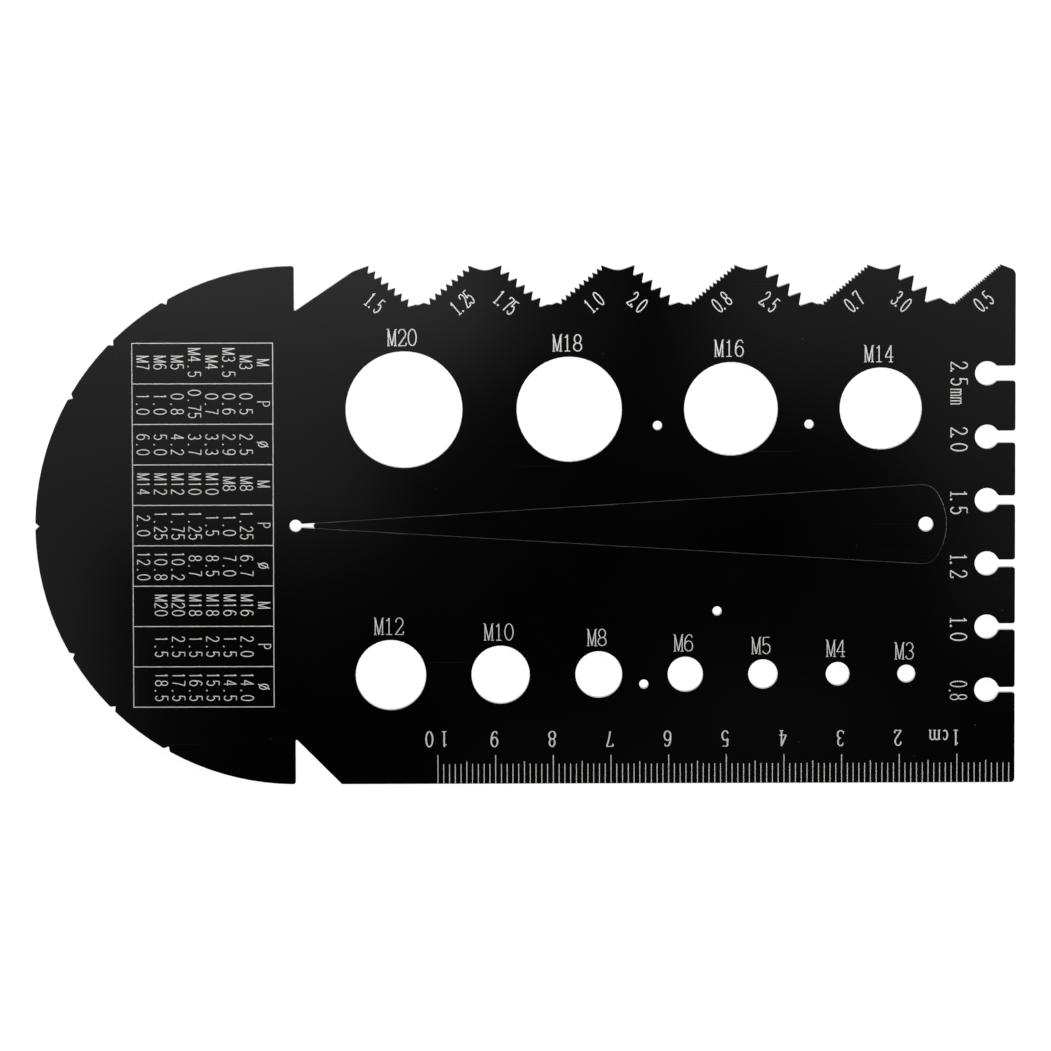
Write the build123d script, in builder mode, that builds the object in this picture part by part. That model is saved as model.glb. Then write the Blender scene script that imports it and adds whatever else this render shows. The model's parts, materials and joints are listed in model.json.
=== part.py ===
from build123d import *
import os
from math import cos, hypot, radians, sin, sqrt, tan

# Flat gauge card for threads, drills, sheet and angles, with a loose taper gauge that
# lies flush in its own window. All sizes are in millimetres.
# Origin: centre of the half round end, on the lower face. +X runs along the card to the
# straight edge, +Y to the toothed edge, and +Z out of the marked face. The holes and the
# blunt end of the taper gauge are placed by their distance from the straight edge.

# Card
thickness = 1.5
end_radius = 45.0
body_length = 124.5
corner_radius = 0.7
toothed_corner_radius = 1.2
spare_stock = 2.0
near = 0.01
most_of_a_side = 0.9

# Two open V notches where the half round end meets the straight body
notch_wall_x = -0.15
upper_notch_depth = 7.9
upper_notch_slope = 34.2
lower_notch_depth = 8.0
lower_notch_slope = 45.0
notch_root_radius = 0.2
notch_lip_radius = 0.45
notch_land_radius = 3.0

# Small V marks in the rim of the half round end, at these places round it from +X
rim_mark_places = (120, 135, 150, 180, 210, 225, 240)
rim_mark_depth = 0.72
rim_mark_angle = 80.0
rim_mark_lip_radius = 0.4

# Five troughs in the upper edge, each with one row of thread teeth on either flank
first_trough_x = 21.35
trough_spacing = 22.95
trough_half_width = 8.6
trough_depth = 6.8
flank_angle = 40.0
tooth_angle = 60.0
tip_flat_share = 1 / 16
root_flat_share = 1 / 8
trough_pitches = ((1.5, 1.25), (1.75, 1.0), (2.0, 0.8), (2.5, 0.7), (3.0, 0.5))
last_tip_round_share = 0.15
crest_radius = 3.5

# Round gauge holes: thread size and distance from the straight edge
upper_row_y = 20.1
upper_row = ((20, 105.7), (18, 77.15), (16, 49.2), (14, 23.3))
lower_row_y = -26.0
lower_row = ((12, 108.1), (10, 89.1), (8, 72.1), (6, 57.1), (5, 43.65), (4, 30.7), (3, 18.8))
hole_clearance = 0.1
large_hole_clearance = 0.2
large_hole_size = 12

# Small scribing holes: distance from the straight edge and place across the card
scribe_hole_diameter = 1.6
scribe_holes = ((35.7, 17.4), (61.9, 17.25), (51.6, -15.0), (64.3, -27.7))

# Keyhole slots for sheet and wire along the straight edge
slot_widths = (2.5, 2.0, 1.5, 1.2, 1.0, 0.8)
slot_clearance = 0.1
first_slot_y = 26.15
slot_spacing = 11.0
slot_reach = 4.9
slot_hole_diameter = 4.2
slot_mouth_radius = 0.45
slot_neck_radius = 0.45

# Centre hole and the taper gauge in its window
centre_hole_diameter = 2.1
channel_radius = 0.2
taper_tip_x = 3.1
taper_end_from_edge = 11.9
taper_tip_width = 0.8
taper_end_width = 14.2
taper_end_radius = 10.0
taper_corner_radius = 3.0
taper_clearance = 0.06
hang_hole_diameter = 2.55
hang_hole_from_end = 3.55

# Sides of the taper, and the middles of the slots' round ends
taper_end_x = body_length - taper_end_from_edge
taper_length = taper_end_x - taper_tip_x
taper_slope = (taper_end_width - taper_tip_width) / 2 / taper_length
taper_secant = sqrt(1 + taper_slope**2)
slot_hole_x = body_length - slot_reach


def flank_points(peak_x, inward, pitch):
    """One row of teeth, from the peak at the upper edge down to its last tip."""
    along = Vector(inward * cos(radians(flank_angle)), -sin(radians(flank_angle)))
    into = Vector(-inward * sin(radians(flank_angle)), -cos(radians(flank_angle)))
    peak = Vector(peak_x, end_radius)
    sharp_depth = pitch / 2 / tan(radians(tooth_angle / 2))
    root = along * (pitch / 2) + into * (sharp_depth * (1 - tip_flat_share - root_flat_share))
    half_tip = along * (pitch * tip_flat_share / 2)
    half_root = along * (pitch * root_flat_share / 2)
    teeth = int(flank_length / pitch)
    points = []
    for tooth in range(teeth):
        tip = peak + along * (pitch * tooth)
        lead = tip - half_tip if tooth else tip
        points += [lead, tip + half_tip, tip + root - half_root, tip + root + half_root]
    points.append(peak + along * (pitch * teeth))
    return points


def land_y(x):
    """Height of the land that climbs to the first peak, at x."""
    return end_radius - (first_peak_x - x) * crest_slope


def side_y(x, grow):
    """Half width of the taper at x, with its sides moved out by grow."""
    return taper_tip_width / 2 + (x - taper_tip_x) * taper_slope + grow * taper_secant


def end_corner_x(grow):
    """Where the taper's side meets the arc of its blunt end."""
    arc_x = taper_end_x - taper_end_radius
    radius = taper_end_radius + grow
    side_at_arc = side_y(arc_x, grow)
    reach = sqrt((radius * taper_secant) ** 2 - side_at_arc**2)
    return arc_x + (reach - taper_slope * side_at_arc) / taper_secant**2


def taper_blunt_end(grow):
    """The arc across the blunt end, drawn in the line being built."""
    x = end_corner_x(grow)
    ThreePointArc((x, side_y(x, grow)), (taper_end_x + grow, 0), (x, -side_y(x, grow)))


def corners(*places):
    """The corners of the card's face that lie at the places given."""
    return card_face.vertices().filter_by(
        lambda corner: any(hypot(corner.X - x, corner.Y - y) < near for x, y in places)
    )


def corners_on_circle(x, y, radius):
    """The corners of the card's face that lie on a circle round x, y."""
    return card_face.vertices().filter_by(
        lambda corner: abs(hypot(corner.X - x, corner.Y - y) - radius) < near
    )


def corners_in_column(x):
    """The corners of the card's face that lie at x, from the lowest to the highest."""
    return card_face.vertices().filter_by_position(Axis.X, x - near, x + near).sort_by(Axis.Y)


# Crests of the toothed edge, and as many troughs as the card has room for
crest_slope = tan(radians(90 - flank_angle - tooth_angle / 2))
crest_half_width = trough_spacing / 2 - trough_half_width
crest_y = end_radius - crest_half_width * crest_slope
trough_room = body_length - toothed_corner_radius - trough_half_width - first_trough_x
troughs = trough_pitches[: int(trough_room / trough_spacing) + 1]
trough_centres = [first_trough_x + trough_spacing * n for n in range(len(troughs))]
flank_length = min(
    trough_depth / sin(radians(flank_angle)), trough_half_width / cos(radians(flank_angle))
)

# Corners beside the V notches, and the keyhole slots
upper_notch_rise = tan(radians(upper_notch_slope))
first_peak_x = first_trough_x - trough_half_width
notch_land_x = (
    upper_notch_depth + notch_wall_x * upper_notch_rise - first_peak_x * crest_slope
) / (upper_notch_rise - crest_slope)
notch_land = (notch_land_x, land_y(notch_land_x))
lower_notch_run = lower_notch_depth / tan(radians(lower_notch_slope))
lower_notch_land = (notch_wall_x + lower_notch_run, -end_radius)
slot_places = [(width, first_slot_y - slot_spacing * n) for n, width in enumerate(slot_widths)]

# Gauge card
with BuildPart() as gauge_plate:
    with BuildSketch(Plane.XY) as card_face:
        # Half round end and body, with spare stock above the toothed edge
        Circle(end_radius)
        with Locations((body_length / 2, spare_stock / 2)):
            Rectangle(body_length, 2 * end_radius + spare_stock)

        # Toothed edge
        stock_y = end_radius + 2 * spare_stock
        edge = [Vector(notch_wall_x, stock_y), Vector(notch_wall_x, land_y(notch_wall_x))]
        for centre, (left_pitch, right_pitch) in zip(trough_centres, troughs):
            edge += flank_points(centre - trough_half_width, 1, left_pitch)
            edge.append(Vector(centre, end_radius - trough_depth))
            edge += reversed(flank_points(centre + trough_half_width, -1, right_pitch))
            edge.append(Vector(centre + trough_spacing / 2, crest_y))
        edge.append(Vector(body_length + spare_stock, crest_y))
        edge.append(Vector(body_length + spare_stock, stock_y))
        with BuildLine():
            Polyline(*edge, close=True)
        make_face(mode=Mode.SUBTRACT)

        # V notches
        for side, depth, slope in (
            (1, upper_notch_depth, upper_notch_slope),
            (-1, lower_notch_depth, lower_notch_slope),
        ):
            root_y = end_radius - depth
            run = (stock_y - root_y) / tan(radians(slope))
            with BuildLine():
                Polyline(
                    (notch_wall_x, side * stock_y),
                    (notch_wall_x, side * root_y),
                    (notch_wall_x + run, side * stock_y),
                    close=True,
                )
            make_face(mode=Mode.SUBTRACT)

        # Rim marks
        mouth = (rim_mark_depth + spare_stock) * tan(radians(rim_mark_angle / 2))
        for place in rim_mark_places:
            with PolarLocations(end_radius, 1, start_angle=place):
                root, low, high = (-rim_mark_depth, 0), (spare_stock, -mouth), (spare_stock, mouth)
                Polygon(root, low, high, mode=Mode.SUBTRACT)

        # Gauge holes
        for row_y, row in ((upper_row_y, upper_row), (lower_row_y, lower_row)):
            for size, from_edge in row:
                spare = large_hole_clearance if size >= large_hole_size else hole_clearance
                with Locations((body_length - from_edge, row_y)):
                    Circle((size + spare) / 2, mode=Mode.SUBTRACT)
        with Locations(*[(body_length - from_edge, y) for from_edge, y in scribe_holes]):
            Circle(scribe_hole_diameter / 2, mode=Mode.SUBTRACT)

        # Keyhole slots
        for width, y in slot_places:
            with Locations((slot_hole_x, y)):
                Circle(slot_hole_diameter / 2, mode=Mode.SUBTRACT)
                Rectangle(
                    2 * slot_reach,
                    width + slot_clearance,
                    align=(Align.MIN, Align.CENTER),
                    mode=Mode.SUBTRACT,
                )

        # Centre hole and the window that opens out of it
        Circle(centre_hole_diameter / 2, mode=Mode.SUBTRACT)
        with BuildLine():
            corner_x = end_corner_x(taper_clearance)
            Line((corner_x, -side_y(corner_x, taper_clearance)), (0, -side_y(0, taper_clearance)))
            Line((0, -side_y(0, taper_clearance)), (0, side_y(0, taper_clearance)))
            Line((0, side_y(0, taper_clearance)), (corner_x, side_y(corner_x, taper_clearance)))
            taper_blunt_end(taper_clearance)
        make_face(mode=Mode.SUBTRACT)

        # Crests between the troughs, and the land beside the upper V notch
        crests = [(centre - trough_spacing / 2, crest_y) for centre in trough_centres[1:]]
        fillet(corners(*crests), min(crest_radius, most_of_a_side * crest_half_width / crest_slope))
        fillet(corners(notch_land), notch_land_radius)

        # Blunt last tips beside the bottom of each trough
        for centre, pitches in zip(trough_centres, troughs):
            for inward, pitch in zip((1, -1), pitches):
                tip = flank_points(centre - inward * trough_half_width, inward, pitch)[-1]
                fillet(corners((tip.X, tip.Y)), last_tip_round_share * pitch)

        # Lips of the rim marks
        rim = corners_on_circle(0, 0, end_radius)
        lips = rim.filter_by_position(Axis.X, -end_radius, notch_wall_x - near)
        fillet(lips, rim_mark_lip_radius)

        # Roots and lips of the V notches
        low_lip, low_root, high_root, high_lip = corners_in_column(notch_wall_x)
        fillet((low_root, high_root), notch_root_radius)
        low_lip, *wall, high_lip = corners_in_column(notch_wall_x)
        fillet((low_lip, high_lip, *corners(lower_notch_land)), notch_lip_radius)

        # Necks and mouths of the keyhole slots, and the two corners of the straight edge
        necks = [corners_on_circle(slot_hole_x, y, slot_hole_diameter / 2) for width, y in slot_places]
        fillet(sum(necks, ShapeList()), slot_neck_radius)
        low_corner, *mouths, high_corner = corners_in_column(body_length)
        fillet(mouths, slot_mouth_radius)
        fillet(corners_in_column(body_length)[0], corner_radius)
        fillet(corners_in_column(body_length)[-1], toothed_corner_radius)

        # Window
        fillet(corners_on_circle(0, 0, centre_hole_diameter / 2), channel_radius)
        window_corners = [(corner_x, side * side_y(corner_x, taper_clearance)) for side in (1, -1)]
        fillet(corners(*window_corners), taper_corner_radius + taper_clearance)
    extrude(amount=thickness)
gauge_plate.part.label = "gauge_plate"

# Loose taper gauge, flush in the window
with BuildPart() as taper_gauge:
    with BuildSketch(Plane.XY) as taper_face:
        with BuildLine():
            sine = taper_slope / taper_secant
            nose_radius = taper_tip_width / 2 / taper_secant / (1 - sine)
            nose = Vector(taper_tip_x + nose_radius * (1 - sine), nose_radius / taper_secant)
            corner_x = end_corner_x(0)
            Line(nose, (corner_x, side_y(corner_x, 0)))
            taper_blunt_end(0)
            Line((corner_x, -side_y(corner_x, 0)), (nose.X, -nose.Y))
            ThreePointArc((nose.X, -nose.Y), (taper_tip_x, 0), nose)
        make_face()
        fillet(taper_face.vertices().group_by(Axis.X)[-1], taper_corner_radius)
        with Locations((taper_end_x - hang_hole_from_end, 0)):
            Circle(hang_hole_diameter / 2, mode=Mode.SUBTRACT)
    extrude(amount=thickness)
taper_gauge.part.label = "taper_gauge"

os.makedirs("parts", exist_ok=True)
for piece in (gauge_plate, taper_gauge):
    export_step(piece.part, f"parts/{piece.part.label}.step")
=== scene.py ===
import json
from dataclasses import dataclass, replace
from math import cos, hypot, pi, radians, sin

import bmesh
import bpy
from bpy.props import FloatProperty, FloatVectorProperty, PointerProperty
from mathutils import Euler, Matrix, Vector


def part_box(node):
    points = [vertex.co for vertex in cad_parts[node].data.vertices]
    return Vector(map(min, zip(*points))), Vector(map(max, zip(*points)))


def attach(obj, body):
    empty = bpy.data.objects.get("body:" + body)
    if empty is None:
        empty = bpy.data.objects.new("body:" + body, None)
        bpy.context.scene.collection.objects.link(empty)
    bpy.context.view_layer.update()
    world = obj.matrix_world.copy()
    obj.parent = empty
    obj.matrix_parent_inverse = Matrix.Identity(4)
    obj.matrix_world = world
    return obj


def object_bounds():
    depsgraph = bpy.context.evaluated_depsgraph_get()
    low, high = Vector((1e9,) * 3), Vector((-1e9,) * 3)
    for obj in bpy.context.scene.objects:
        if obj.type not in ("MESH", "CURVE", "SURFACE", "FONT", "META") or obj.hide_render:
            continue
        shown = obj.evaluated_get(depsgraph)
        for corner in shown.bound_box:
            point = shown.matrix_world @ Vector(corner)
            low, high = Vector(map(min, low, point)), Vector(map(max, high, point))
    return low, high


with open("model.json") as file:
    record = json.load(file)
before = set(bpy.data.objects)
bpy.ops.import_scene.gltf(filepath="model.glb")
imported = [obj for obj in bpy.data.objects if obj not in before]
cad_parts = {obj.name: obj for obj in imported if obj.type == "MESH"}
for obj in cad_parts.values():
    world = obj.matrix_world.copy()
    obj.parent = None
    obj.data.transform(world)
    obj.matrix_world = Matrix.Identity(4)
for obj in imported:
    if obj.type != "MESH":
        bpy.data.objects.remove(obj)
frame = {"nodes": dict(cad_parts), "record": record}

bl_info = {
    "name": "Gauge card looks",
    "version": (1, 0, 0),
    "blender": (4, 5, 0),
    "location": "3D View > Sidebar > Gauge card",
    "description": "Finishes, engraved marks and studio for a thread and drill gauge card",
    "category": "Object",
}

# Lengths here are in metres, and MM turns a size written in millimetres into them.
MM = 0.001

CARD, TAPER = "gauge_plate", "taper_gauge"
CARD_LOW, CARD_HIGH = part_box(CARD)
PLAIN_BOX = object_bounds()
FACE_Z = CARD_HIGH.z
MOUNTS = {mount["name"]: mount for mount in frame["record"]["mounts"]}

# Where the marks lie, in millimetres from the middle of the half round end
PITCH_PLACES = {
    "1.5": 13.8, "1.25": 28.9, "1.75": 36.45, "1.0": 51.65, "2.0": 59.15,
    "0.8": 73.7, "2.5": 81.95, "0.7": 96.6, "3.0": 104.75, "0.5": 118.95,
}
PITCH_ROW_Y = 38.6
SLOT_PLACES = {
    "2.5": 26.13, "mm": 22.12, "2.0": 14.75, "1.5": 3.8, "1.2": -7.22, "1.0": -18.2, "0.8": -28.98,
}
SLOT_MARK_X = 114.75
TABLE_LEFT, TABLE_RIGHT = -28.15, -3.85
TABLE_TOP, TABLE_CELL = 31.7, 7.02
TABLE_HEAD_X, TABLE_ROW_X, TABLE_ROW_STEP = -5.5, -8.47, 2.97

# The table's columns: a heading, where % is drawn as a diameter sign, and the numbers under it
TABLE = (
    ("M", "M3 M3.5 M4 M4.5 M5 M6 M7"),
    ("P", "0.5 0.6 0.7 0.75 0.8 1.0 1.0"),
    ("%", "2.5 2.9 3.3 3.7 4.2 5.0 6.0"),
    ("M", "M8 M8 M10 M10 M12 M12 M14"),
    ("P", "1.25 1.0 1.5 1.25 1.75 1.25 2.0"),
    ("%", "6.7 7.0 8.5 8.7 10.2 10.8 12.0"),
    ("M", "M16 M16 M18 M18 M20 M20"),
    ("P", "2.0 1.5 2.5 1.5 2.5 1.5"),
    ("%", "14.0 14.5 15.5 16.5 17.5 18.5"),
)

# Soft panels that the card mirrors into the camera. Each is given by the part of the card where
# it shows, in millimetres: left, right, bottom and top edge, then its brightness.
PANELS = {
    "left_wall": (-130, 14, 0, 22, 0.35),
    "left_low": (-130, -34.5, -60, 0, 0.34),
    "left_mid": (-130, 27, 22, 30, 0.42),
    "left_upper": (-130, 36, 30, 37, 0.52),
    "left_top": (-130, 36, 37, 120, 0.74),
    "middle_top": (42, 53, 31, 120, 0.1),
    "right_top": (73, 220, 37, 120, 0.41),
    "right_upper": (71, 110, 24, 37, 0.25),
    "right_corner": (110, 220, 24, 37, 0.35),
    "right_mid": (106, 220, 8, 24, 0.25),
    "right_low": (114, 220, -18, 8, 0.17),
    "front_low": (66, 101, -37, -24, 0.08),
    "front_edge": (28, 114, -60, -37, 0.05),
}

# Scales of the noise behind each pattern, whose features are about 1 / scale metres across
# The second scale's patches paint a highlight along the edges as well as wear
CLOUD_SCALE, WEAR_AND_HIGHLIGHT_SCALE, SPECK_SCALE = 45, 190, 1500
SCRATCH_SCALE, SCRATCH_SLOPE = (18, 2400, 18), radians(7)
# The last scale is that of the noise that varies the floor's painted shade in gaps
MOTTLE_SCALE, GAP_SHADE_SCALE = 2600, 420

# The noise at which each pattern starts and is full
# The first stops' patches paint a highlight along the edges as well as wear
WEAR_AND_HIGHLIGHT_STOPS = (0.54, 0.0), (0.68, 1.0)
SPECK_STOPS = (0.8, 0.0), (0.87, 1.0)
SCRATCH_STOPS = (0.76, 0.0), (0.82, 1.0)
# The last stops are those of the noise that varies the floor's painted shade in gaps
GAP_SHADE_STOPS = (0.38, 0.0), (0.68, 1.0)

# How strongly each pattern shows, as shares of the edge-wear colour, which along edges also paints a
# highlight, or of the colour that it varies
SPECK_SHARE, SCRATCH_SHARE = 0.2, 0.05
RUB_AND_HIGHLIGHT_SHARE, PATCH_SHARE, PATCH_SPREAD = 0.03, 0.8, 2.4
CLOUD_SHADES, MOTTLE_SHADES = (0.75, 1.35), (0.86, 1.14)

# How far apart the pieces lie in the noise
SEED_STEP = 0.37


class FinishSettings(bpy.types.PropertyGroup):
    """The black finish of the card and of the taper gauge."""

    black: FloatVectorProperty(
        name="Black", description="Colour of the anodised metal", subtype="COLOR",
        size=3, min=0, max=1, default=(0.0005, 0.00045, 0.0004),
    )
    # This colour paints a highlight along the edges as well as edge wear, dust and scratches
    worn: FloatVectorProperty(
        name="Worn edge", description="Colour of metal that shows where an edge has rubbed",
        subtype="COLOR", size=3, min=0, max=1, default=(0.16, 0.15, 0.14),
    )
    roughness: FloatProperty(
        name="Roughness", description="Roughness of the satin face", subtype="FACTOR",
        min=0, max=1, default=0.11,
    )
    grain: FloatProperty(
        name="Grain", description="Size of the blasted grain", unit="LENGTH",
        min=0.00002, max=0.001, precision=6, default=0.00012,
    )
    # The line along an edge is painted highlight as well as wear; its width also rounds the edge's normal
    rub_width: FloatProperty(
        name="Rub width", description="Width of the rubbed line along an edge",
        unit="LENGTH", min=0.00001, max=0.001, precision=6, default=0.00005,
    )


class MarkSettings(bpy.types.PropertyGroup):
    """The light marks engraved on the card's face."""

    colour: FloatVectorProperty(
        name="Mark", description="Colour of the engraved marks", subtype="COLOR",
        size=3, min=0, max=1, default=(0.56, 0.545, 0.535),
    )
    proud: FloatProperty(
        name="Thickness", description="How far a mark stands over the face", unit="LENGTH",
        min=0.000005, max=0.0001, precision=6, default=0.000015,
    )
    line: FloatProperty(
        name="Line", description="Width of the thin lines", unit="LENGTH",
        min=0.00005, max=0.001, precision=6, default=0.00015,
    )
    size_height: FloatProperty(
        name="Hole size height", description="Height of the marks over the round holes",
        unit="LENGTH", min=0.001, max=0.01, precision=5, default=0.0030,
    )
    size_gap: FloatProperty(
        name="Hole size gap", description="Room between a round hole and its mark",
        unit="LENGTH", min=0, max=0.01, precision=5, default=0.0009,
    )
    pitch_height: FloatProperty(
        name="Pitch height", description="Height of the marks beside the teeth",
        unit="LENGTH", min=0.001, max=0.01, precision=5, default=0.0028,
    )
    slot_height: FloatProperty(
        name="Slot height", description="Height of the marks beside the keyhole slots",
        unit="LENGTH", min=0.001, max=0.01, precision=5, default=0.0030,
    )
    scale_height: FloatProperty(
        name="Scale height", description="Height of the numbers on the scale",
        unit="LENGTH", min=0.001, max=0.01, precision=5, default=0.0028,
    )
    table_height: FloatProperty(
        name="Table height", description="Height of the numbers in the table",
        unit="LENGTH", min=0.001, max=0.01, precision=5, default=0.0023,
    )


class StageSettings(bpy.types.PropertyGroup):
    """The camera, lamps and floor."""

    camera_place: FloatVectorProperty(
        name="Camera", description="Where the camera stands", subtype="TRANSLATION",
        size=3, default=(0.02513, 0.14812, 1.6),
    )
    camera_turn: FloatVectorProperty(
        name="Camera turn", description="How the camera is tilted from straight down",
        subtype="EULER", size=3,
        default=(radians(-5.2944), radians(-0.5344), radians(-0.1093)),
    )
    lens: FloatProperty(
        name="Lens", description="Focal length of the camera", unit="CAMERA",
        min=10, max=500, default=317.91,
    )
    key: FloatProperty(
        name="Key", description="Power of the soft lamp beyond the toothed edge", unit="POWER",
        min=0, default=0.9,
    )
    fill: FloatProperty(
        name="Fill", description="Power of the soft lamp beyond the straight edge", unit="POWER",
        min=0, default=2.15,
    )
    shade: FloatProperty(
        name="Shadow share", description="Share of the floor's white that shadows can take away",
        subtype="FACTOR", min=0, max=1, default=0.15,
    )


class Value:
    """A socket that can stand in a Python expression. Each operator adds one Math node."""

    def __init__(self, finish, socket):
        self.finish = finish
        self.socket = socket

    def __add__(self, other):
        return self.finish.maths("ADD", self, other)

    def __sub__(self, other):
        return self.finish.maths("SUBTRACT", self, other)

    def __rsub__(self, other):
        return self.finish.maths("SUBTRACT", other, self)

    def __mul__(self, other):
        return self.finish.maths("MULTIPLY", self, other)

    __radd__ = __add__
    __rmul__ = __mul__


class Finish:
    """The nodes of a material, or of the world, in the making."""

    def __init__(self, owner):
        self.owner = owner
        owner.use_nodes = True
        self.tree = owner.node_tree
        self.tree.nodes.clear()

    def node(self, kind, settings=None, sockets=None, output=0):
        """Adds a node: its settings first, then the values or links of its sockets.

        Gives the output that is named or numbered.
        """
        made = self.tree.nodes.new(kind)
        for key, setting in (settings or {}).items():
            if key == "stops":
                self.set_stops(made.color_ramp, setting)
            else:
                setattr(made, key, setting)
        for key, given in (sockets or {}).items():
            if isinstance(given, Value):
                self.tree.links.new(given.socket, made.inputs[key])
            else:
                made.inputs[key].default_value = given
        return Value(self, made.outputs[output]) if made.outputs else made

    @staticmethod
    def set_stops(ramp, stops):
        """Gives a colour ramp these stops, each a place and a grey."""
        while len(ramp.elements) < len(stops):
            ramp.elements.new(1)
        for element, (place, grey) in zip(ramp.elements, stops):
            element.position = place
            element.color = (grey, grey, grey, 1)

    def maths(self, operation, first, second):
        """A Math node on two numbers, of which one or both change over the surface."""
        return self.node("ShaderNodeMath", {"operation": operation}, {0: first, 1: second})

    def noise(self, place, scale, detail=2.0, roughness=0.5):
        """Noise about 0.5, with features about 1 / scale metres across."""
        return self.node(
            "ShaderNodeTexNoise", {"noise_dimensions": "3D"},
            {"Vector": place, "Scale": scale, "Detail": detail, "Roughness": roughness},
        )

    def ramp(self, factor, *stops):
        """A grey that runs from stop to stop. A stop is a place and a grey."""
        return self.node("ShaderNodeValToRGB", {"stops": stops}, {"Fac": factor})

    def blend(self, factor, first, second):
        """A mix of two colours, which a Mix node takes in its sockets 6 and 7 and gives in 2."""
        return self.node(
            "ShaderNodeMix", {"data_type": "RGBA"},
            {"Factor": factor, 6: first, 7: second}, output=2,
        )

    def ray(self, kind):
        """1 on rays of this kind, such as Is Camera Ray, and 0 on others."""
        path = self.tree.nodes.new("ShaderNodeLightPath")
        return Value(self, path.outputs[kind])

    def surface(self, shader, output="ShaderNodeOutputMaterial"):
        """Ends the nodes in this shader."""
        self.node(output, {}, {"Surface": shader})
        return self.owner


def opaque(colour):
    return (*colour, 1)


def shades(colour, *shares):
    """The colour made darker or lighter by each share."""
    return [opaque([min(1, part * share) for part in colour]) for share in shares]


def black_metal(name, settings, seed):
    """Satin black anodised metal: blasted grain, faint clouds, lighter edges that are painted highlight as
    well as wear, dust and hairlines.
    """
    finish = Finish(bpy.data.materials.new(name))
    place = finish.node("ShaderNodeTexCoord", output="Object")
    moved = finish.node(
        "ShaderNodeVectorMath", {"operation": "ADD"}, {0: place, 1: (seed, seed, seed)},
    )
    clouds = finish.noise(moved, CLOUD_SCALE, 4)
    grain = finish.noise(moved, 1 / settings.grain, 3, 0.6)

    # Lighter edges, wider in patches, painted highlight as well as wear: the normal of a rounded edge leans
    # away from the flat one
    patches = finish.ramp(finish.noise(moved, WEAR_AND_HIGHLIGHT_SCALE, 3), *WEAR_AND_HIGHLIGHT_STOPS)
    flat = finish.node("ShaderNodeNewGeometry", output="Normal")
    reach = (patches * PATCH_SPREAD + 1) * settings.rub_width
    rounded = finish.node("ShaderNodeBevel", {"samples": 6}, {"Radius": reach})
    agree = finish.node(
        "ShaderNodeVectorMath", {"operation": "DOT_PRODUCT"}, {0: flat, 1: rounded}, output="Value",
    )
    rubbed_and_highlit = finish.maths("MINIMUM", (1 - agree) * 3, 1) * (patches * PATCH_SHARE + RUB_AND_HIGHLIGHT_SHARE)

    # Dust specks, and hairline scratches that run nearly along the card
    specks = finish.ramp(finish.noise(moved, SPECK_SCALE, 1), *SPECK_STOPS)
    drawn_out = finish.node(
        "ShaderNodeMapping", {},
        {"Vector": moved, "Rotation": (0, 0, SCRATCH_SLOPE), "Scale": SCRATCH_SCALE},
    )
    scratches = finish.ramp(finish.noise(drawn_out, 1, 1), *SCRATCH_STOPS)
    marred = finish.maths("MAXIMUM", specks * SPECK_SHARE, scratches * SCRATCH_SHARE)

    tone = finish.blend(clouds, *shades(settings.black, *CLOUD_SHADES))
    # Along the edges this colour is painted highlight as well as wear; dust and hairlines take it too
    colour = finish.blend(finish.maths("MAXIMUM", rubbed_and_highlit, marred), tone, opaque(settings.worn))
    roughness = settings.roughness + (clouds - 0.5) * 0.06 + (grain - 0.5) * 0.05 + rubbed_and_highlit * 0.2
    bump = finish.node(
        "ShaderNodeBump", {}, {"Strength": 0.05, "Distance": 0.00001, "Height": grain, "Normal": rounded},
    )
    shader = finish.node(
        "ShaderNodeBsdfPrincipled", {},
        {"Base Color": colour, "Roughness": roughness, "Normal": bump, "IOR": 1.5},
    )
    return finish.surface(shader)


def engraved_mark(name, settings):
    """Light, slightly uneven marks: the laser leaves a matt, mottled grey."""
    finish = Finish(bpy.data.materials.new(name))
    place = finish.node("ShaderNodeTexCoord", output="Object")
    mottle = finish.noise(place, MOTTLE_SCALE, 3, 0.65)
    shader = finish.node("ShaderNodeBsdfPrincipled", {}, {
        "Base Color": finish.blend(mottle, *shades(settings.colour, *MOTTLE_SHADES)),
        "Roughness": 0.55 + mottle * 0.2,
        "IOR": 1.45,
    })
    return finish.surface(shader)


def arc(x, y, across, up, start, end, steps=10):
    """Points along an ellipse from one angle to another, in degrees."""
    turns = [radians(start + (end - start) * n / steps) for n in range(steps + 1)]
    return [(x + across * cos(turn), y + up * sin(turn)) for turn in turns]


def oval(x, y, across, up, steps=20):
    """Points once round an ellipse, from its top."""
    return arc(x, y, across, up, 90, 450, steps)


def half_turn(strokes):
    """The strokes of a mark turned upside down."""
    return [[(-x, 1 - y) for x, y in stroke] for stroke in strokes]


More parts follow.
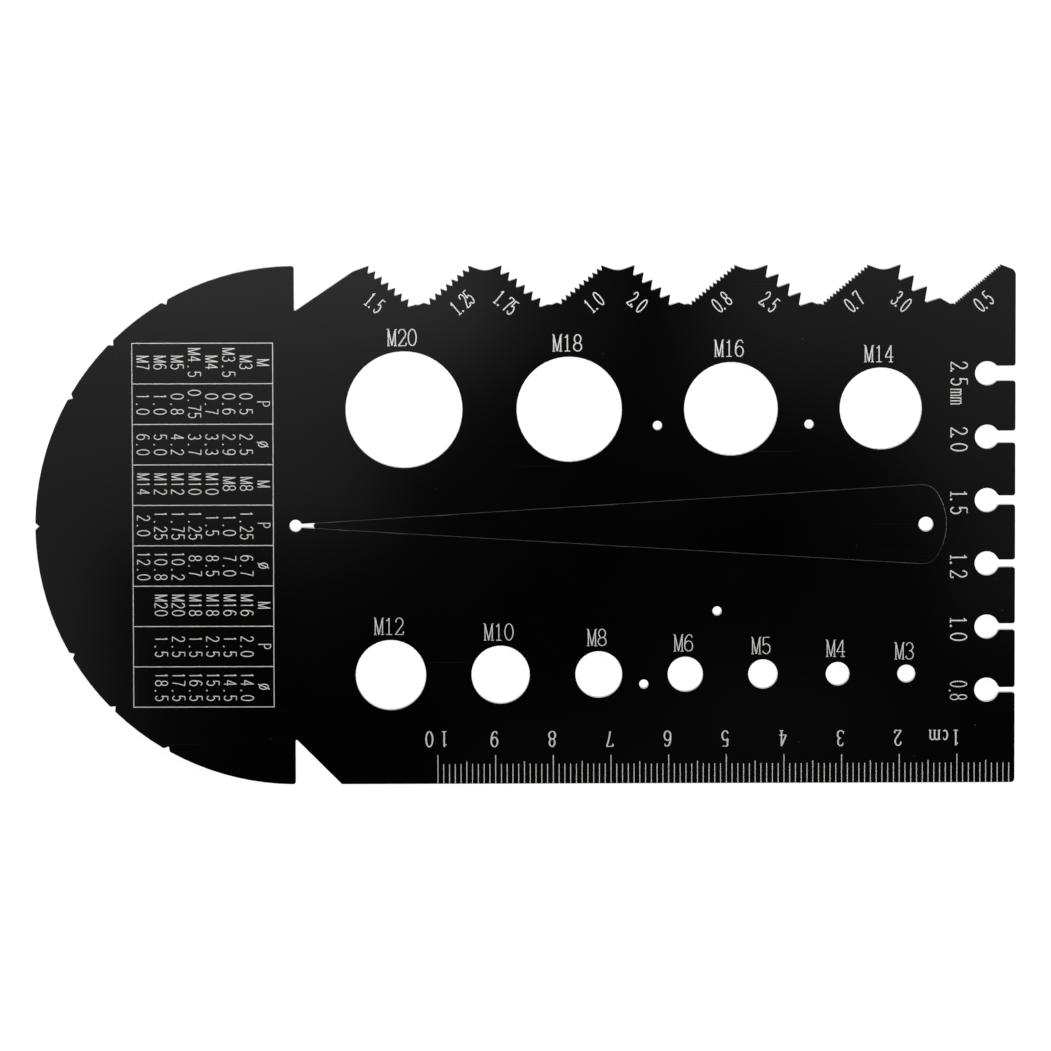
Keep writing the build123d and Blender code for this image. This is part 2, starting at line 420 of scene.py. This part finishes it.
# Centre lines of the marks, in a box from -0.5 to 0.5 across and 0 to 1 up
SIX = [oval(0, 0.31, 0.48, 0.31), arc(0.08, 0.42, 0.56, 0.58, 55, 185)]
STROKES = {
    "0": [oval(0, 0.5, 0.5, 0.5)],
    "1": [[(0, 0), (0, 1)]],
    "2": [arc(0, 0.72, 0.45, 0.28, 165, -28) + [(-0.46, 0)], [(-0.48, 0), (0.48, 0)]],
    "3": [arc(-0.03, 0.75, 0.42, 0.25, 150, -95), arc(-0.05, 0.26, 0.5, 0.26, 88, -155)],
    "4": [[(0.2, 0), (0.2, 1)], [(0.2, 1), (-0.5, 0.3)], [(-0.52, 0.29), (0.5, 0.29)]],
    "5": [
        [(0.4, 1), (-0.34, 1)], [(-0.34, 1), (-0.4, 0.52)],
        arc(-0.02, 0.31, 0.48, 0.31, 140, -150),
    ],
    "6": SIX,
    "7": [[(-0.46, 1), (0.48, 1)], [(0.48, 1), (0.12, 0.52), (-0.06, 0)]],
    "8": [oval(0, 0.74, 0.41, 0.26), oval(0, 0.25, 0.49, 0.25)],
    "9": half_turn(SIX),
    "M": [
        [(-0.44, 0), (-0.44, 1)], [(-0.44, 1), (0, 0)], [(0, 0), (0.44, 1)], [(0.44, 1), (0.44, 0)],
    ],
    "P": [[(-0.4, 0), (-0.4, 1), (0, 1)] + arc(0, 0.75, 0.45, 0.25, 90, -90) + [(-0.4, 0.5)]],
    "%": [oval(0, 0.45, 0.5, 0.36), [(-0.5, -0.02), (0.5, 0.92)]],
    "c": [arc(0.04, 0.31, 0.44, 0.31, 50, 310)],
    "m": [
        [(-0.46, 0), (-0.46, 0.62)], [(0, 0), (0, 0.45)] + arc(-0.22, 0.45, 0.22, 0.17, 0, 150, 6),
        [(0.46, 0), (0.46, 0.45)] + arc(0.24, 0.45, 0.22, 0.17, 0, 150, 6),
    ],
}

# The short strokes that end the centre lines of marks with serifs, in the same box
SERIFS = {
    "1": [[(-0.34, 0.84), (-0.12, 0.87), (0, 0.99)], [(-0.34, 0), (0.34, 0)]],
    "2": [[(0.46, 0.01), (0.54, 0.18)], [(-0.46, 0.76), (-0.36, 0.74)]],
    "3": [[(-0.42, 0.84), (-0.32, 0.83)], [(-0.5, 0.16), (-0.4, 0.18)]],
    "4": [[(-0.06, 0), (0.46, 0)]],
    "5": [[(-0.44, 0.16), (-0.34, 0.17)]],
    "6": [[(0.36, 0.84), (0.45, 0.86)]],
    "7": [[(-0.46, 1), (-0.49, 0.84)]],
    "9": [[(-0.36, 0.16), (-0.45, 0.14)]],
    "M": [
        [(-0.62, 1), (-0.44, 1)], [(0.44, 1), (0.62, 1)], [(-0.6, 0), (-0.28, 0)], [(0.26, 0), (0.62, 0)],
    ],
    "c": [[(0.3, 0.5), (0.36, 0.48)]],
    "m": [
        [(-0.6, 0.6), (-0.46, 0.6)], [(-0.6, 0), (-0.34, 0)], [(-0.12, 0), (0.12, 0)], [(0.34, 0), (0.6, 0)],
    ],
}

# Centre lines of marks that differ where they have no serifs
PLAIN = {
    "1": [[(0, 0), (0, 1)], [(-0.2, 0.83), (0, 0.99)]],
    "M": [[(-0.56, 0), (-0.56, 1)], [(-0.56, 1), (0, 0)], [(0, 0), (0.56, 1)], [(0.56, 1), (0.56, 0)]],
}


@dataclass
class Lettering:
    """How one group of marks is drawn, with its sizes in metres.

    A stem is a stroke that goes up and down, and a hair one that goes across. A point stands
    dot_back steps before the middle of its own place, and dot_up of its radii above the foot.
    """

    height: float
    width: float
    step: float
    stem: float
    hair: float
    serifs: bool = True
    dot_back: float = 0.3
    dot_up: float = 1.0


class Engraving:
    """Strokes gathered into one thin closed mesh that is seated in the card's face."""

    SEAT = 0.005 * MM       # how far a stroke's foot lies in the face
    SLANT = 0.012 * MM      # how far its sides lean in
    STACK = 0.0006 * MM     # how far strokes that cross differ in height
    LAYERS = 6              # how many such heights there are
    MITRE = 0.5             # a stroke is spread at a bend by at most 1 / this
    MEETS = 1e-7            # ends that are nearer than this meet
    DOT = 0.42              # a point's radius, in stems
    DOT_FILL = 0.94         # half the width of the stroke round it, in radii
    DOT_STEPS = 8

    def __init__(self, proud):
        self.mesh = bmesh.new()
        self.proud = proud
        self.count = 0

    def stroke(self, points, half_widths):
        """One ribbon along the points. A ribbon whose ends meet is a ring."""
        ring = hypot(points[0][0] - points[-1][0], points[0][1] - points[-1][1]) < self.MEETS
        if ring:
            points, half_widths = points[:-1], half_widths[:-1]
        top = FACE_Z + self.proud + self.STACK * (self.count % self.LAYERS)
        foot = FACE_Z - self.SEAT
        self.count += 1
        stations = []
        for n, (x, y) in enumerate(points):
            before = points[n - 1] if n or ring else points[0]
            after = points[(n + 1) % len(points)] if n + 1 < len(points) or ring else points[-1]
            into = Vector((x - before[0], y - before[1]))
            out = Vector((after[0] - x, after[1] - y))
            into = into.normalized() if into.length else out.normalized()
            out = out.normalized() if out.length else into
            along = (into + out).normalized()
            reach = half_widths[n] / max(self.MITRE, along.dot(into))
            side = Vector((-along.y, along.x))
            narrow = reach - self.SLANT
            stations.append([
                self.mesh.verts.new((x + side.x * offset, y + side.y * offset, z))
                for offset, z in ((reach, foot), (narrow, top), (-narrow, top), (-reach, foot))
            ])
        spans = zip(stations, stations[1:] + stations[:1] if ring else stations[1:])
        for here, there in spans:
            for a in range(len(here)):
                b = (a + 1) % len(here)
                self.mesh.faces.new((here[a], there[a], there[b], here[b]))
        if not ring:
            self.mesh.faces.new(stations[0])
            self.mesh.faces.new(reversed(stations[-1]))

    @staticmethod
    def pen(lettering, points):
        """Half the pen's width at each point: thick going up and down, thin across."""
        halves = []
        for n in range(len(points)):
            a, b = points[max(n - 1, 0)], points[min(n + 1, len(points) - 1)]
            run = hypot(b[0] - a[0], b[1] - a[1]) or 1
            rise = abs(b[1] - a[1]) / run
            halves.append((lettering.hair + (lettering.stem - lettering.hair) * rise) / 2)
        return halves

    def write(self, text, place, turn, lettering):
        """Writes text with its middle at place, turned by some degrees."""
        move = Matrix.Translation((*place, 0)) @ Matrix.Rotation(radians(turn), 4, "Z")
        across = lettering.width - lettering.stem
        up = lettering.height - lettering.hair
        start = -lettering.step * (len(text) - 1) / 2
        for n, letter in enumerate(text):
            middle = start + lettering.step * n
            if letter == ".":
                dot = lettering.stem * self.DOT
                x, y = -lettering.step * lettering.dot_back, dot * lettering.dot_up - up / 2
                spot = oval(x, y, dot, dot, self.DOT_STEPS)
                strokes, halves = [spot], [[dot * self.DOT_FILL] * len(spot)]
            else:
                if lettering.serifs:
                    strokes = STROKES[letter] + SERIFS.get(letter, [])
                else:
                    strokes = PLAIN.get(letter, STROKES[letter])
                strokes = [[(x * across, (y - 0.5) * up) for x, y in stroke] for stroke in strokes]
                halves = [self.pen(lettering, stroke) for stroke in strokes]
            for stroke, half in zip(strokes, halves):
                spots = [move @ Vector((x + middle, y, 0)) for x, y in stroke]
                self.stroke([(spot.x, spot.y) for spot in spots], half)

    def rule(self, start, end, width):
        """A straight line."""
        self.stroke([start, end], [width / 2, width / 2])

    def finish(self, name, material):
        """Makes the piece, which rides on the card."""
        bmesh.ops.recalc_face_normals(self.mesh, faces=self.mesh.faces)
        mesh = bpy.data.meshes.new(name)
        self.mesh.to_mesh(mesh)
        self.mesh.free()
        piece = bpy.data.objects.new(name, mesh)
        bpy.context.scene.collection.objects.link(piece)
        mesh.materials.append(material)
        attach(piece, "card")


def mark_material(marks):
    """The one material of all marks."""
    name = "engraved_mark"
    return bpy.data.materials.get(name) or engraved_mark(name, marks)


class DressMetal(bpy.types.Operator):
    """Gives the card and the taper gauge their satin black finish."""

    bl_idname = "gauge_card.dress_metal"
    bl_label = "Dress the metal"

    def execute(self, context):
        for seed, node in enumerate((CARD, TAPER)):
            material = black_metal(f"{node}_finish", context.scene.card_finish, seed * SEED_STEP)
            slots = frame["nodes"][node].material_slots
            if not slots:
                raise RuntimeError(f"{node} has no material slot")
            for slot in slots:
                slot.material = material
        return {"FINISHED"}


class MarkHoleSizes(bpy.types.Operator):
    """Writes the thread size over each round gauge hole."""

    bl_idname = "gauge_card.mark_hole_sizes"
    bl_label = "Mark the hole sizes"

    LEFT = 0.3 * MM     # from the middle of a hole to that of its mark

    def execute(self, context):
        marks = context.scene.card_marks
        upper_row = Lettering(
            marks.size_height, width=1.6 * MM, step=1.76 * MM, stem=0.225 * MM, hair=0.155 * MM,
        )
        lower_row = replace(upper_row, stem=0.18 * MM, hair=0.12 * MM)
        engraving = Engraving(marks.proud)
        for name, mount in MOUNTS.items():
            if not name.endswith("_check_hole"):
                continue
            x, y = mount["pos_m"][:2]
            radius = mount["dims"]["r_mm"] * MM
            middle = y + radius + marks.size_gap + marks.size_height / 2
            lettering = upper_row if y > 0 else lower_row
            engraving.write(name.split("_")[0].upper(), (x - self.LEFT, middle), 0, lettering)
        engraving.finish("hole_size_marks", mark_material(marks))
        return {"FINISHED"}


class MarkPitches(bpy.types.Operator):
    """Writes the thread pitch beside each row of teeth."""

    bl_idname = "gauge_card.mark_pitches"
    bl_label = "Mark the pitches"

    SLOPE = 40      # degrees that a mark is turned, down towards its trough

    def execute(self, context):
        marks = context.scene.card_marks
        lettering = Lettering(
            marks.pitch_height, width=1.05 * MM, step=1.01 * MM, stem=0.22 * MM, hair=0.19 * MM,
        )
        engraving = Engraving(marks.proud)
        for n, (text, x) in enumerate(PITCH_PLACES.items()):
            turn = self.SLOPE if n % 2 else -self.SLOPE
            engraving.write(text, (x * MM, PITCH_ROW_Y * MM), turn, lettering)
        engraving.finish("pitch_marks", mark_material(marks))
        return {"FINISHED"}


class MarkSlots(bpy.types.Operator):
    """Writes the width of each keyhole slot."""

    bl_idname = "gauge_card.mark_slots"
    bl_label = "Mark the slots"

    def execute(self, context):
        marks = context.scene.card_marks
        lettering = Lettering(
            marks.slot_height, width=1.45 * MM, step=1.42 * MM, stem=0.24 * MM, hair=0.17 * MM,
            dot_back=0.34, dot_up=0.5,
        )
        fine = replace(lettering, stem=0.19 * MM, hair=0.14 * MM)
        special = {
            "mm": replace(fine, width=1.33 * MM, step=1.47 * MM),
            "0.8": replace(fine, width=1.12 * MM, step=1.13 * MM, dot_back=0, dot_up=-1),
        }
        engraving = Engraving(marks.proud)
        for text, y in SLOT_PLACES.items():
            engraving.write(text, (SLOT_MARK_X * MM, y * MM), -90, special.get(text, lettering))
        engraving.finish("slot_marks", mark_material(marks))
        return {"FINISHED"}


class RuleScale(bpy.types.Operator):
    """Engraves the millimetre scale along the lower edge, and its numbers."""

    bl_idname = "gauge_card.rule_scale"
    bl_label = "Rule the scale"

    # In millimetres
    LONGEST = 100
    INSET = 0.03                                        # from the lower edge to the lines
    LENGTHS = {10: 5.0, 5: 3.9, 1: 3.45}                # of every tenth, fifth and other line
    NUMBERS_UP, NUMBERS_LEFT = 7.78, 0.2
    UNIT = {"c": (12.03, 1.2), "m": (13.87, 1.92)}      # place from the straight edge, and width

    def execute(self, context):
        marks = context.scene.card_marks
        lines = Engraving(marks.proud)
        for n in range(1, self.LONGEST + 1):
            length = next(self.LENGTHS[each] for each in self.LENGTHS if n % each == 0)
            x = CARD_HIGH.x - n * MM
            lines.rule((x, CARD_LOW.y + self.INSET * MM), (x, CARD_LOW.y + length * MM), marks.line)
        lines.finish("scale_lines", mark_material(marks))
        numbers = Engraving(marks.proud)
        lettering = Lettering(
            marks.scale_height, width=1.4 * MM, step=2.57 * MM, stem=0.27 * MM, hair=0.16 * MM,
        )
        row_y = CARD_LOW.y + self.NUMBERS_UP * MM
        for n in range(1, self.LONGEST // 10 + 1):
            x = CARD_HIGH.x - (n * 10 + self.NUMBERS_LEFT) * MM
            numbers.write(str(n), (x, row_y), 180, lettering)
        for letter, (from_edge, width) in self.UNIT.items():
            unit = replace(lettering, width=width * MM)
            numbers.write(letter, (CARD_HIGH.x - from_edge * MM, row_y), 180, unit)
        numbers.finish("scale_numbers", mark_material(marks))
        return {"FINISHED"}


class DrawTable(bpy.types.Operator):
    """Draws the table of thread, pitch and drill sizes on the half round end."""

    bl_idname = "gauge_card.draw_table"
    bl_label = "Draw the table"

    THREAD_SHIFT = 0.13 * MM    # from the middle of a cell to the thread sizes in it

    def execute(self, context):
        marks = context.scene.card_marks
        lines = Engraving(marks.proud)
        for n in range(len(TABLE) + 1):
            y = (TABLE_TOP - TABLE_CELL * n) * MM
            lines.rule((TABLE_LEFT * MM, y), (TABLE_RIGHT * MM, y), marks.line)
        bottom = (TABLE_TOP - TABLE_CELL * len(TABLE)) * MM - marks.line / 2
        top = TABLE_TOP * MM + marks.line / 2
        for x in (TABLE_LEFT * MM, TABLE_RIGHT * MM):
            lines.rule((x, bottom), (x, top), marks.line)
        lines.finish("table_lines", mark_material(marks))
        text = Engraving(marks.proud)
        lettering = Lettering(
            marks.table_height, width=1.05 * MM, step=1.31 * MM, stem=0.165 * MM, hair=0.155 * MM,
            serifs=False, dot_back=0, dot_up=0,
        )
        for n, (head, column) in enumerate(TABLE):
            y = (TABLE_TOP - TABLE_CELL * (n + 0.5)) * MM
            if head == "M":
                y += self.THREAD_SHIFT
            text.write(head, (TABLE_HEAD_X * MM, y), -90, lettering)
            for row, number in enumerate(column.split()):
                x = (TABLE_ROW_X - TABLE_ROW_STEP * row) * MM
                text.write(number, (x, y), -90, lettering)
        text.finish("table_numbers", mark_material(marks))
        return {"FINISHED"}


class SetStage(bpy.types.Operator):
    """Sets the floor, the lamps, the world and the camera."""

    bl_idname = "gauge_card.set_stage"
    bl_label = "Set the stage"

    # Places and sizes, in metres
    FLOOR_SIZE = 6.0
    FLOOR_DROP = 0.0001     # keeps the floor and the card's lower face apart
    # Close walls paint shade into the paper's white
    GAP_REACH = 0.00019     # how far off a wall still darkens the paper in a gap
    KEY_PLACE, KEY_SIZE = (-0.023, 0.216, 0.159), 0.12
    FILL_PLACE, FILL_SIZE = (0.481, 0.049, 0.233), 0.2
    PANEL_HEIGHT = 0.6
    CLIP = (0.01, 20)

    # Strengths of light, where 1 is white, and the paper's own colour
    FLOOR_WHITE = 1.13
    OVERHEAD = 0.005
    PAPER = (0.8, 0.8, 0.8)

    # Greys of the painted shade by how open the paper lies, and by how high the sky is
    OPEN_STOPS = (0.3, 0.0), (0.8, 1.0)
    SKY_STOPS = (0.25, 1.0), (0.65, 0.0)

    def floor_material(self, settings):
        """White paper with painted shade near close walls, darkest in a narrow gap and varied by noise.
        Shadows take a share of it away.
        """
        finish = Finish(bpy.data.materials.new("white_floor"))
        seen = finish.ray("Is Camera Ray") + finish.ray("Is Glossy Ray") + finish.ray("Is Transmission Ray")
        open_share = finish.node(
            "ShaderNodeAmbientOcclusion", {"samples": 8}, {"Distance": self.GAP_REACH}, output="AO",
        )
        paper = finish.node("ShaderNodeBsdfDiffuse", {}, {"Color": opaque(self.PAPER)})
        dim = finish.node("ShaderNodeBsdfDiffuse", {}, {"Color": opaque([settings.shade] * 3)})
        place = finish.node("ShaderNodeTexCoord", output="Object")
        # Painted shade: the emitted white dims with the ambient occlusion of nearby walls, by an amount that
        # noise varies
        shade_noise = finish.ramp(finish.noise(place, GAP_SHADE_SCALE, 3), *GAP_SHADE_STOPS)
        clear = finish.ramp(open_share, *self.OPEN_STOPS)
        shown = clear * (clear + (1 - clear) * shade_noise)
        glow = finish.node(
            "ShaderNodeEmission", {},
            {"Color": shown, "Strength": self.FLOOR_WHITE - settings.shade},
        )
        lit = finish.node("ShaderNodeAddShader", {}, {0: dim, 1: glow})
        return finish.surface(finish.node("ShaderNodeMixShader", {}, {0: seen, 1: paper, 2: lit}))

    def lamp(self, name, place, aim, size, power, glossy=True):
        """A soft lamp that the camera doesn't see, and that metal mirrors only if it is glossy."""
        data = bpy.data.lights.new(name, "AREA")
        data.shape = "RECTANGLE"
        data.size, data.size_y = size
        data.energy = power
        lamp = bpy.data.objects.new(name, data)
        bpy.context.scene.collection.objects.link(lamp)
        lamp.location = place
        lamp.rotation_euler = (Vector(aim) - Vector(place)).to_track_quat("-Z", "Y").to_euler()
        lamp.visible_glossy = glossy
        lamp.visible_camera = False

    def world(self):
        """White behind the card, white near the horizon where metal mirrors it, dim overhead."""
        sky = Finish(bpy.data.worlds.new("studio"))
        direction = sky.node("ShaderNodeTexCoord", output="Generated")
        height = sky.node("ShaderNodeSeparateXYZ", {}, {"Vector": direction}, output="Z")
        horizon = sky.ramp(height, *self.SKY_STOPS)
        mirrored = sky.ray("Is Glossy Ray") + sky.ray("Is Transmission Ray")
        strength = sky.ray("Is Camera Ray") + mirrored * horizon + self.OVERHEAD
        white = sky.node("ShaderNodeBackground", {}, {"Color": (1, 1, 1, 1), "Strength": strength})
        return sky.surface(white, "ShaderNodeOutputWorld")

    def panel(self, name, edges, brightness, eye):
        """A soft panel overhead, which the card mirrors into the camera between these edges."""
        share = self.PANEL_HEIGHT / eye[2]
        left, right = [(1 + share) * edge - share * eye[0] for edge in edges[:2]]
        bottom, top = [(1 + share) * edge - share * eye[1] for edge in edges[2:]]
        x, y = (left + right) / 2, (bottom + top) / 2
        power = pi * (right - left) * (top - bottom) * brightness
        self.lamp(name, (x, y, self.PANEL_HEIGHT), (x, y, 0), (right - left, top - bottom), power)

    def lay_floor(self, settings, middle):
        half = self.FLOOR_SIZE / 2
        corners = [(-half, -half, 0), (half, -half, 0), (half, half, 0), (-half, half, 0)]
        mesh = bpy.data.meshes.new("floor")
        mesh.from_pydata(corners, [], [(0, 1, 2, 3)])
        mesh.materials.append(self.floor_material(settings))
        floor = bpy.data.objects.new("floor", mesh)
        bpy.context.scene.collection.objects.link(floor)
        floor.location = (middle.x, middle.y, PLAIN_BOX[0].z - self.FLOOR_DROP)

    def hang_lamps(self, settings, middle):
        for name, place, size, power in (
            ("key_lamp", self.KEY_PLACE, self.KEY_SIZE, settings.key),
            ("fill_lamp", self.FILL_PLACE, self.FILL_SIZE, settings.fill),
        ):
            self.lamp(name, place, middle, (size, size), power, glossy=False)
        for name, (*edges, brightness) in PANELS.items():
            self.panel(name, [edge * MM for edge in edges], brightness, settings.camera_place)

    def place_camera(self, settings):
        data = bpy.data.cameras.new("camera")
        data.lens = settings.lens
        data.clip_start, data.clip_end = self.CLIP
        camera = bpy.data.objects.new("camera", data)
        bpy.context.scene.collection.objects.link(camera)
        camera.location = settings.camera_place
        camera.rotation_euler = Euler(settings.camera_turn, "XYZ")
        return camera

    def execute(self, context):
        scene = context.scene
        settings = scene.card_stage
        middle = (PLAIN_BOX[0] + PLAIN_BOX[1]) / 2
        self.lay_floor(settings, middle)
        scene.world = self.world()
        self.hang_lamps(settings, middle)
        scene.camera = self.place_camera(settings)
        scene.view_settings.view_transform = "Standard"
        return {"FINISHED"}


OPERATORS = (DressMetal, MarkHoleSizes, MarkPitches, MarkSlots, RuleScale, DrawTable, SetStage)


class CardPanel(bpy.types.Panel):
    """Lists the steps and the settings in the 3D view's sidebar."""

    bl_idname = "VIEW3D_PT_gauge_card"
    bl_label = "Gauge card"
    bl_space_type = "VIEW_3D"
    bl_region_type = "UI"
    bl_category = "Gauge card"

    def draw(self, context):
        for operator in OPERATORS:
            self.layout.operator(operator.bl_idname)
        for group in (context.scene.card_finish, context.scene.card_marks, context.scene.card_stage):
            box = self.layout.box()
            for name in group.bl_rna.properties.keys():
                if name not in ("rna_type", "name"):
                    box.prop(group, name)


GROUPS = {"card_finish": FinishSettings, "card_marks": MarkSettings, "card_stage": StageSettings}
CLASSES = (*GROUPS.values(), *OPERATORS, CardPanel)


def register():
    for each in CLASSES:
        bpy.utils.register_class(each)
    for name, group in GROUPS.items():
        setattr(bpy.types.Scene, name, PointerProperty(type=group))


def unregister():
    for name in GROUPS:
        delattr(bpy.types.Scene, name)
    for each in reversed(CLASSES):
        bpy.utils.unregister_class(each)


def main():
    """Registers the classes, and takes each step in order."""
    register()
    for operator in OPERATORS:
        step = operator.bl_idname.split(".")[1]
        getattr(bpy.ops.gauge_card, step)()


if __name__ == "__main__":
    main()
